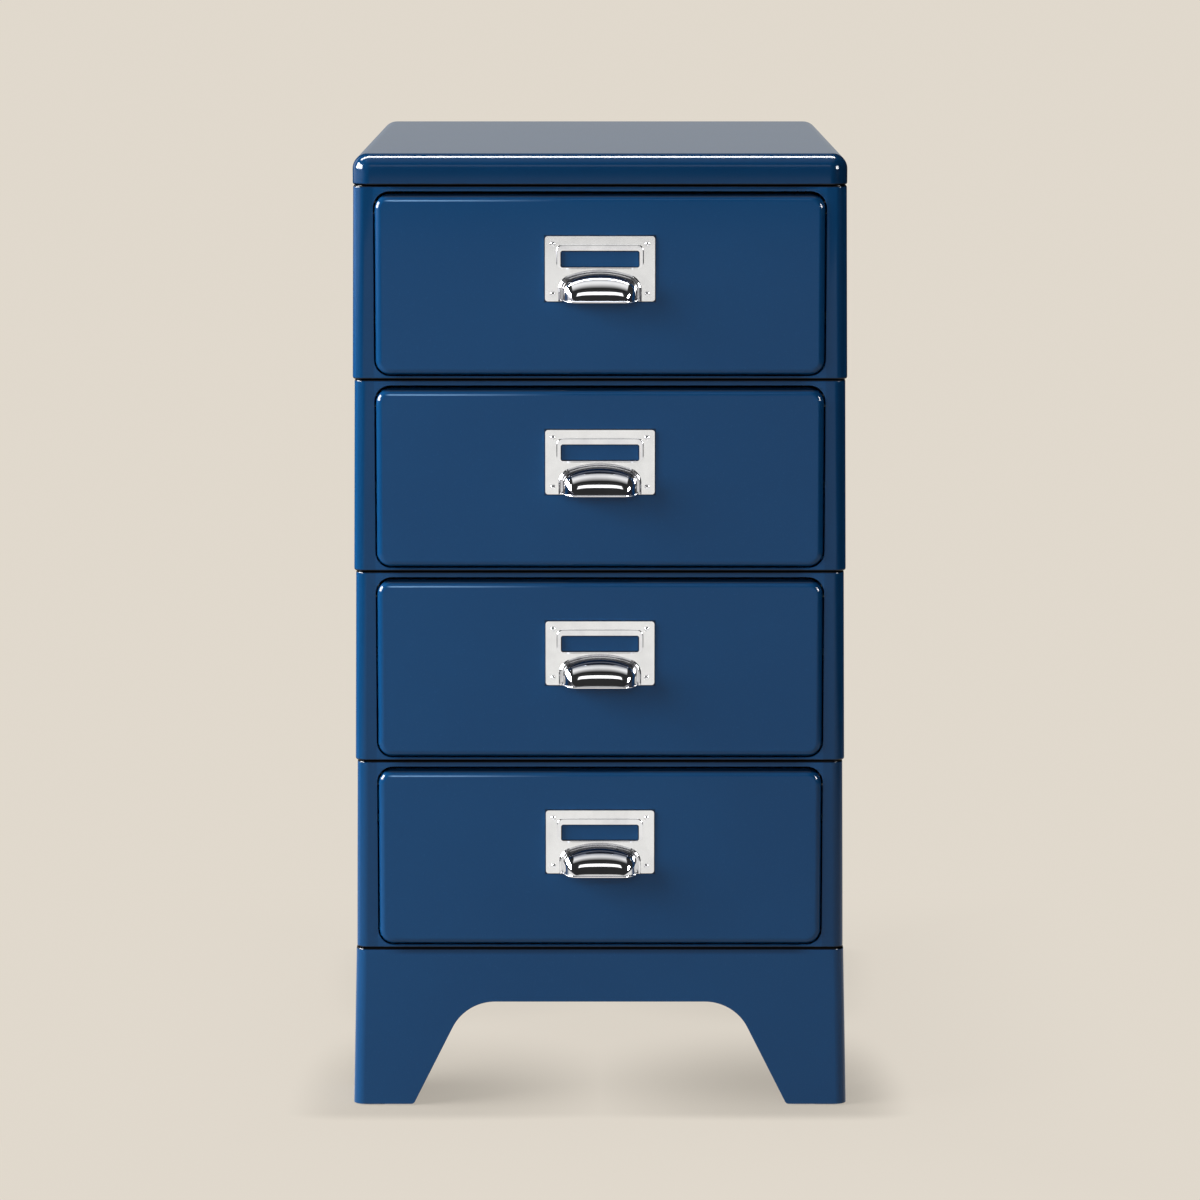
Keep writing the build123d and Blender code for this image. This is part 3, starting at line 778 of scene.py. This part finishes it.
base = {"splay": 2.3 * mm, "corner": 6.8 * mm, "leastCorner": 1.0 * mm, "fold": 1.3 * mm, "flange": 15 * mm,
        "arch": 62.6 * mm, "legFront": 35.4 * mm, "legSide": 44 * mm, "slope": 0.5, "archRound": 28 * mm,
        "footRound": 2.6 * mm, "gauge": 1.2 * mm, "cutEdge": 0.35 * mm,
        "cornerSteps": 10, "archSteps": 14, "footSteps": 5, "foldSteps": 4}


def roundCorner(before, corner, after, radius, steps):
    # points of an arc that rounds the corner between two straight runs
    a = (Vector(before) - Vector(corner)).normalized()
    b = (Vector(after) - Vector(corner)).normalized()
    half = a.angle(b) / 2
    reach = radius / math.tan(half)
    middle = Vector(corner) + (a + b).normalized() * radius / math.sin(half)
    start = Vector(corner) + a * reach - middle
    stop = Vector(corner) + b * reach - middle
    points = []
    for k in range(steps + 1):
        way = start.lerp(stop, k / steps)
        points.append(tuple(middle + way.normalized() * radius))
    return points


def archPath(half, legWidth, foot):
    # from the left foot's inner corner over the gap to the right foot's, as (across, up)
    span, arch = half - legWidth, base["arch"]
    top = span - base["slope"] * arch
    lowX = span - base["slope"] * foot
    left = roundCorner((-half, foot), (-lowX, foot), (-top, arch), base["footRound"], base["footSteps"])
    left += roundCorner((-lowX, foot), (-top, arch), (0, arch), base["archRound"], base["archSteps"])
    return left + [(-x, z) for x, z in left[::-1]]


def makeBase():
    low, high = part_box("leg_base")
    halfX, halfY = (high.x - low.x) / 2, (high.y - low.y) / 2
    middleY = (low.y + high.y) / 2
    foot, top = low.z, high.z

    def leanAt(z):
        return halfX - base["splay"] * (z - foot) / (top - foot)

    profile = [(0.0, foot)] + foldOver(base["fold"], top, base["foldSteps"]) + [(base["flange"], top)]
    bm = bmesh.new()
    rings = []
    for inset, height in profile:
        radius = max(base["corner"] - inset, base["leastCorner"])
        outline = roundedRing(leanAt(height) - inset, halfY - inset, radius, base["cornerSteps"])
        rings.append(ringVerts(bm, [(x, y + middleY, height) for x, y in outline]))
    arc = base["cornerSteps"] + 1
    count = len(rings[0])
    flats = [arc - 1, 2 * arc - 1, 3 * arc - 1, 4 * arc - 1]  # right, back, left, front
    loft(bm, rings, leaveOut={(0, i) for i in flats})
    for side, i in zip(("right", "back", "left", "front"), flats):
        j = (i + 1) % count
        if side in ("front", "back"):
            path = archPath(halfX, base["legFront"], foot)
            flip = 1 if side == "front" else -1
            y = low.y if side == "front" else high.y
            cut = [bm.verts.new((flip * x, y, z)) for x, z in path]
        else:
            path = archPath(halfY, base["legSide"], foot)
            flip = 1 if side == "right" else -1
            cut = [bm.verts.new((flip * leanAt(z), middleY + flip * x, z)) for x, z in path]
        bm.faces.new([rings[0][i]] + cut + [rings[0][j], rings[1][j], rings[1][i]])
    piece = sheetPiece("legBase", bm, bluePaint, base["gauge"], base["cutEdge"])
    fit(piece, "cabinet", "blue_paint", "leg_base")


makeBase()
print("leg base done")


# bolts and nuts at the seams

bolt = {"flats": 7.0 * mm, "head": 2.8 * mm, "shank": 2.0 * mm, "nut": 3.2 * mm, "end": 1.0 * mm,
        "bore": 2.2 * mm, "setX": 8.0 * mm, "setY": 26.0 * mm,
        "collar": 0.47, "collarHeight": 0.12, "collarDrop": 1.03,  # shares of the flats and of the head
        "collarSides": 32, "shankSides": 20, "boreSides": 24}


def boltTree():
    tree, wire, given = geometryTree("hexBolts", ("flats", "head", "shank", "length"))
    head = bar(wire, 2, given["flats"] / math.sqrt(3), given["head"], given["head"] * -0.5, 6)
    collar = bar(wire, 2, given["flats"] * bolt["collar"], given["head"] * bolt["collarHeight"],
                 given["head"] * -bolt["collarDrop"], bolt["collarSides"])
    shank = bar(wire, 2, given["shank"], given["length"], given["length"] * 0.5, bolt["shankSides"])
    whole = wire.add("GeometryNodeJoinGeometry", None, {"Geometry": [head, collar, shank]})
    return closeTree(tree, wire, onPoints(wire, given["Geometry"], whole), zinc)


def nutTree():
    tree, wire, given = geometryTree("hexNuts", ("flats", "height", "bore"))
    block = bar(wire, 2, given["flats"] / math.sqrt(3), given["height"], given["height"] * 0.5, 6)
    drill = bar(wire, 2, given["bore"], given["height"] * 2.0, given["height"] * 0.5, bolt["boreSides"])
    ring = wire.add("GeometryNodeMeshBoolean", {"operation": "DIFFERENCE"}, {"Mesh 1": block, "Mesh 2": drill})
    return closeTree(tree, wire, onPoints(wire, given["Geometry"], ring), zinc)


def makeFasteners():
    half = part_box("lid")[1].x - lid["overhang"]
    low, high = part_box("casing_1")
    reachX, reachY = half - bolt["setX"], (high.y - low.y) / 2 - bolt["setY"]
    middleY = (low.y + high.y) / 2
    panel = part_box("floor_1")[1].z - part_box("floor_1")[0].z
    seams = [(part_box("leg_base")[1].z, base["gauge"], casing["gauge"] + panel)]
    seams += [(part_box(f"casing_{tier}")[1].z, casing["gauge"], casing["gauge"] + panel) for tier in (4, 3, 2)]
    seams += [(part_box("lid")[0].z, casing["gauge"], lid["gauge"])]
    under, over = bmesh.new(), bmesh.new()
    for z, below, above in seams:
        for x in (-reachX, reachX):
            for y in (middleY - reachY, middleY + reachY):
                under.verts.new((x, y, z - below))
                over.verts.new((x, y, z + above))
    length = casing["gauge"] * 2 + panel + bolt["nut"] + bolt["end"]
    values = {"flats": bolt["flats"], "head": bolt["head"], "shank": bolt["shank"], "length": length}
    bolts = grow(newObject("stackBolts", under, zinc), boltTree(), values)
    values = {"flats": bolt["flats"], "height": bolt["nut"], "bore": bolt["bore"]}
    nuts = grow(newObject("stackNuts", over, zinc), nutTree(), values)
    fit(bolts, "cabinet", "zinc", "stack_bolts")
    fit(nuts, "cabinet", "zinc", "stack_nuts")


makeFasteners()
print("bolts and nuts done")


# drawer trays

tray = {"corner": 6.0 * mm, "fold": 2.0 * mm, "gauge": 1.0 * mm, "cutEdge": 0.2 * mm, "reach": 8.0 * mm,
        "earWidth": 5.0 * mm, "earHeight": 3.0 * mm, "rimSetback": 3.0 * mm, "runnerGap": 1.5 * mm,
        "cornerSteps": 8, "foldSteps": 6}


def makeTray(tier):
    low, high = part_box(f"drawer_tray_{tier}")
    halfX, halfY = (high.x - low.x) / 2 - tray["reach"], (high.y - low.y) / 2
    centre = (0, (low.y + high.y) / 2, low.z)
    rimTop = high.z - tray["earHeight"]
    profile = foldUp(tray["fold"], tray["foldSteps"]) + [(0.0, rimTop - low.z)]
    bm = bmesh.new()
    rings = []
    for inset, height in profile:
        outline = roundedRing(halfX - inset, halfY - inset, tray["corner"] - inset, tray["cornerSteps"])
        rings.append(ringVerts(bm, [level(p, height, centre) for p in outline]))
    loft(bm, rings)
    bm.faces.new(rings[0][::-1])
    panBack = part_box(f"drawer_front_{tier}")[1].y
    rimFront, rimBack = panBack + tray["rimSetback"], high.y - tray["corner"]
    earX = halfX + tray["runnerGap"]
    blocks = []
    for side in (-1, 1):
        rimX = sorted((side * halfX, side * (halfX + tray["reach"])))
        earAt = sorted((side * earX, side * (earX + tray["earWidth"])))
        blocks.append(((rimX[0], rimFront, rimTop - tray["gauge"]), (rimX[1], rimBack, rimTop)))
        blocks.append(((earAt[0], rimBack - tray["gauge"], rimTop), (earAt[1], rimBack, high.z)))
    piece = sheetPiece(f"drawerTray_{tier}", bm, bluePaint, tray["gauge"], tray["cutEdge"], blocks=blocks)
    fit(piece, f"drawer_{tier}", "blue_paint", f"drawer_tray_{tier}")


for tier in tiers:
    makeTray(tier)
print("trays done")


# runners

runner = {"gauge": 1.2 * mm, "cutEdge": 0.2 * mm, "bend": 1.4 * mm, "bendSteps": 5,
          "setback": 60.7 * mm, "tabGap": 0.7 * mm, "stop": 0.3 * mm}


def makeRunner(tier, side, name):
    low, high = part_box(f"{name}_{tier}")
    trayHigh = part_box(f"drawer_tray_{tier}")[1]
    inner = min(abs(low.x), abs(high.x))
    outer = max(abs(low.x), abs(high.x))
    bend = runner["bend"]
    section = [(inner, high.z)]
    section += [(outer - bend * (1 - s), high.z - bend * (1 - c)) for s, c in quarter(runner["bendSteps"])]
    section += [(outer - bend * (1 - c), low.z + bend * (1 - s)) for s, c in quarter(runner["bendSteps"])]
    section += [(inner, low.z)]
    ends = (low.y, high.y) if side > 0 else (high.y, low.y)
    bm = bmesh.new()
    loft(bm, [ringVerts(bm, [(side * x, y, z) for x, z in section]) for y in ends], closed=False)
    # stop tabs: one bent down ahead of the rim's ear, one across the channel behind the rim
    rimTop = trayHigh.z - tray["earHeight"]
    rimBack = trayHigh.y - tray["corner"]
    tabX = sorted((side * inner, side * (inner + tray["earWidth"])))
    tabBack = low.y + runner["setback"]
    blocks = [((tabX[0], tabBack - runner["gauge"], rimTop + runner["tabGap"]),
               (tabX[1], tabBack, high.z - runner["gauge"])),
              ((tabX[0], rimBack + runner["stop"], low.z + runner["gauge"]),
               (tabX[1], rimBack + runner["stop"] + runner["gauge"], high.z - runner["gauge"]))]
    piece = sheetPiece(f"{name}Channel_{tier}", bm, zinc, runner["gauge"], runner["cutEdge"], blocks=blocks)
    fit(piece, "cabinet", "zinc", f"{name}_{tier}")


for tier in tiers:
    makeRunner(tier, -1, "runner_left")
    makeRunner(tier, 1, "runner_right")
print("runners done")


# finishes for the solids, of which only the floor panels and the glides stay in use

for node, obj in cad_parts.items():
    finish = glidePlastic if node.startswith("foot") else bluePaint
    obj.data.materials.clear()
    obj.data.materials.append(finish)


# studio

studio = {
    "tone": (0.752, 0.694, 0.610, 1.0), "toneDeep": (0.742, 0.684, 0.600, 1.0),
    "cloud": (0.7, 2.0), "cloudShare": 0.6, "roughness": 0.9,
    "frontEdge": -8.3, "bendStart": 4.5, "bend": 3.0, "top": 7.5, "halfWidth": 12.0, "bendSteps": 16,
    "body": (0.42, 0.387, 0.341, 1.0),  # the floor's own colour, which takes light and shadow
    "bounce": (0.20, 0.19, 0.17, 1.0),  # and what it throws back on the cabinet
    "even": 0.93,  # share of even light on the floor close by, which softens the shadow there
    "near": 0.0, "far": 0.20,  # from the cabinet's sides
    "contact": 0.095, "contactEven": 0.30,  # close round the feet less of it gets in
    # painted contact shadow: the floor's colour drawn towards this tone round the feet
    "contactTone": (0.50, 0.455, 0.39, 1.0), "contactShare": 0.47,
    "contactFront": 4.2, "contactSide": 2.2, "contactBack": 0.55, "contactInner": 0.6,  # how fast it fades
    "contactRear": 0.7, "rearStart": (0.0, 0.1),  # how much weaker it is at the rear feet, and from where
    "mirroredFront": (0.92, 0.91, 0.89, 1.0),  # what the gloss sees of it in front of the cabinet
    "mirrored": (0.347, 0.375, 0.405, 1.0), "behind": (0.0, 0.6),  # behind it
    "mirroredSide": (0.02, 0.02, 0.03, 1.0), "beside": (0.6, 1.6),  # beside it
    "mirroredLeft": (1.6, 1.6, 1.7, 1.0), "farLeft": (4.0, 8.0),  # and far out on the left
    "air": (0.96, 0.98, 1.0, 1.0), "ambient": 0.20, "ambientMirrored": 0.03,
}


def feetShade(wire, x, y):
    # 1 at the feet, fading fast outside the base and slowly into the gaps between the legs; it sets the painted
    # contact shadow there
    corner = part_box("leg_base")[1]
    inX = corner.x - wire.maths("ABSOLUTE", x)  # inwards from the base's sides
    inY = corner.y - wire.maths("ABSOLUTE", y)
    gapX = wire.maths("MAXIMUM", (inX - base["legFront"]) * studio["contactInner"],
                      inX * -studio["contactSide"])
    gapY = wire.maths("MAXIMUM", (inY - base["legSide"]) * studio["contactBack"],
                      inY * -studio["contactFront"])
    gapX, gapY = wire.maths("MAXIMUM", gapX, 0.0), wire.maths("MAXIMUM", gapY, 0.0)
    close = 1 - wire.maths("SQRT", gapX * gapX + gapY * gapY).ramp(0.0, studio["contact"])
    return close * (1 - y.ramp(*studio["rearStart"]) * studio["contactRear"])


def makeBackdrop():
    # floor that sweeps up behind, seen evenly lit and still taking the cabinet's shadow, with a painted contact
    # shadow round the feet
    bend = studio["bend"]
    profile = [(studio["frontEdge"], 0.0)]
    profile += [(studio["bendStart"] + bend * s, bend * (1 - c)) for s, c in quarter(studio["bendSteps"])]
    profile += [(studio["bendStart"] + bend, studio["top"])]
    material, shader, wire, coords = newMaterial("backdrop")
    x, y = wire.axes(coords)[:2]
    sideways = wire.maths("ABSOLUTE", x)
    low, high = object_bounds()
    away = wire.maths("MAXIMUM", sideways - high.x, wire.maths("MAXIMUM", y - high.y, low.y - y))
    far = away.ramp(studio["near"], studio["far"])
    close = feetShade(wire, x, y)
    cloud = wire.noise(coords, *studio["cloud"]) * studio["cloudShare"]
    tint = wire.blend(cloud, studio["tone"], studio["toneDeep"])
    # painted contact shadow round the feet
    tint = wire.blend(close * studio["contactShare"], tint, studio["contactTone"])
    shader.inputs["Roughness"].default_value = studio["roughness"]
    shader.inputs["Specular IOR Level"].default_value = 0.0
    seen = wire.add("ShaderNodeLightPath", out="Is Camera Ray")
    mirrored = wire.add("ShaderNodeLightPath", out="Is Glossy Ray")
    wire.plug(shader.inputs["Base Color"], wire.blend(seen, studio["bounce"], studio["body"]))
    reflected = wire.blend(y.ramp(*studio["behind"]), studio["mirroredFront"], studio["mirrored"])
    reflected = wire.blend(sideways.ramp(*studio["beside"]), reflected, studio["mirroredSide"])
    reflected = wire.blend((x * -1).ramp(*studio["farLeft"]), reflected, studio["mirroredLeft"])
    glow = wire.add("ShaderNodeEmission", None, {"Color": wire.blend(seen, reflected, tint), "Strength": 1.0})
    even = (far * (1 - studio["even"]) + studio["even"]) * (1 - close * studio["contactEven"])
    mixed = wire.add("ShaderNodeMixShader", None,
                     {0: seen * even + mirrored, 1: Wire(wire.tree, shader.outputs[0]), 2: glow})
    wire.plug(wire.tree.nodes["Material Output"].inputs["Surface"], mixed)
    backdrop = newObject("backdrop", curtain(profile, (studio["halfWidth"], -studio["halfWidth"])), material)


def softbox(name, place, aim, size, power, role):
    # role: "light" isn't mirrored by the gloss, "card" is only mirrored
    lamp = bpy.data.lights.new(name, "AREA")
    lamp.shape = "RECTANGLE"
    lamp.size, lamp.size_y = size
    lamp.energy = power
    obj = bpy.data.objects.new(name, lamp)
    obj.location = place
    obj.rotation_euler = (Vector(aim) - Vector(place)).to_track_quat("-Z", "Y").to_euler()
    obj.visible_glossy = role != "light"
    obj.visible_diffuse = role != "card"
    bpy.context.scene.collection.objects.link(obj)


lamps = (
    ("keyLeft", (-2.0, -0.60, 0.98), (0, -0.1, 0.32), (1.6, 1.4), 118, "light"),
    ("leftCard", (-2.05, -0.65, 1.15), (0, -0.65, 1.15), (1.9, 1.1), 394, "card"),
    ("rightCard", (1.70, -1.45, 0.92), (0.14, -0.2, 0.92), (0.65, 0.65), 80, "card"),
    ("overhead", (0.0, 0.0, 2.1), (0, 0, 0.3), (1.6, 0.9), 12, "light"),
    ("overheadCard", (-0.4, 0.14, 2.1), (-0.4, -0.1, 0.3), (2.4, 0.45), 171, "card"),
    ("frontFill", (0.0, -3.9, 1.45), (0, 0, 0.35), (3.0, 1.6), 45, "light"),
    ("frontCard", (0.0, -3.9, 2.38), (0, 0, 0.35), (1.2, 0.8), 4.7, "card"),
    ("backFill", (0.6, 3.0, 1.7), (0, 0, 0.3), (2.5, 1.6), 34, "light"),
)

canopy = {"radius": 2.6, "middle": (-0.1, 0.35), "start": 44, "stop": 90, "steps": 18, "halfWidth": 1.3,
          "dark": (0.0, 0.0, 0.0, 1.0), "bright": (1.0, 1.0, 1.0, 1.0),
          "full": 0.97}  # brightest from this share of its radius


def makeCanopy():
    # reflector over the cabinet that only the gloss sees, brightest overhead and fading towards the front
    y0, z0 = canopy["middle"]
    profile = []
    for k in range(canopy["steps"] + 1):
        turn = math.radians(canopy["start"] + (canopy["stop"] - canopy["start"]) * k / canopy["steps"])
        profile.append((y0 - canopy["radius"] * math.cos(turn), z0 + canopy["radius"] * math.sin(turn)))
    material, _, wire, coords = newMaterial("canopy")
    fade = wire.axes(coords)[2].ramp(profile[0][1], z0 + canopy["radius"] * canopy["full"])
    tint = wire.blend(fade, canopy["dark"], canopy["bright"])
    glow = wire.add("ShaderNodeEmission", None, {"Color": tint, "Strength": 1.0})
    wire.plug(wire.tree.nodes["Material Output"].inputs["Surface"], glow)
    obj = newObject("canopy", curtain(profile, (-canopy["halfWidth"], canopy["halfWidth"])), material)
    obj.visible_camera = obj.visible_diffuse = obj.visible_shadow = False


def makeStudio():
    makeBackdrop()
    makeCanopy()
    for lamp in lamps:
        softbox(*lamp)
    world = bpy.data.worlds.new("studio")
    world.use_nodes = True
    bpy.context.scene.world = world
    wire = Wire(world.node_tree)
    air = world.node_tree.nodes["Background"]
    mirrored = wire.add("ShaderNodeLightPath", out="Is Glossy Ray")
    wire.plug(air.inputs["Strength"],
              studio["ambient"] - mirrored * (studio["ambient"] - studio["ambientMirrored"]))
    air.inputs["Color"].default_value = studio["air"]


camera = {"lens": 139.3, "sensor": 36.0, "reach": 200,
          "ahead": 2671.6 * mm, "height": 706.7 * mm, "down": 8.609}


def makeCamera():
    data = bpy.data.cameras.new("photoCamera")
    data.lens = camera["lens"]
    data.sensor_width = camera["sensor"]
    data.clip_end = camera["reach"]
    obj = bpy.data.objects.new("photoCamera", data)
    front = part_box("casing_1")[0].y
    obj.location = (0, front - camera["ahead"], camera["height"])
    obj.rotation_euler = (math.radians(90 - camera["down"]), 0, 0)
    bpy.context.scene.collection.objects.link(obj)
    bpy.context.scene.camera = obj


makeStudio()
makeCamera()
bpy.context.scene.view_settings.view_transform = "Standard"
print("studio and camera done")
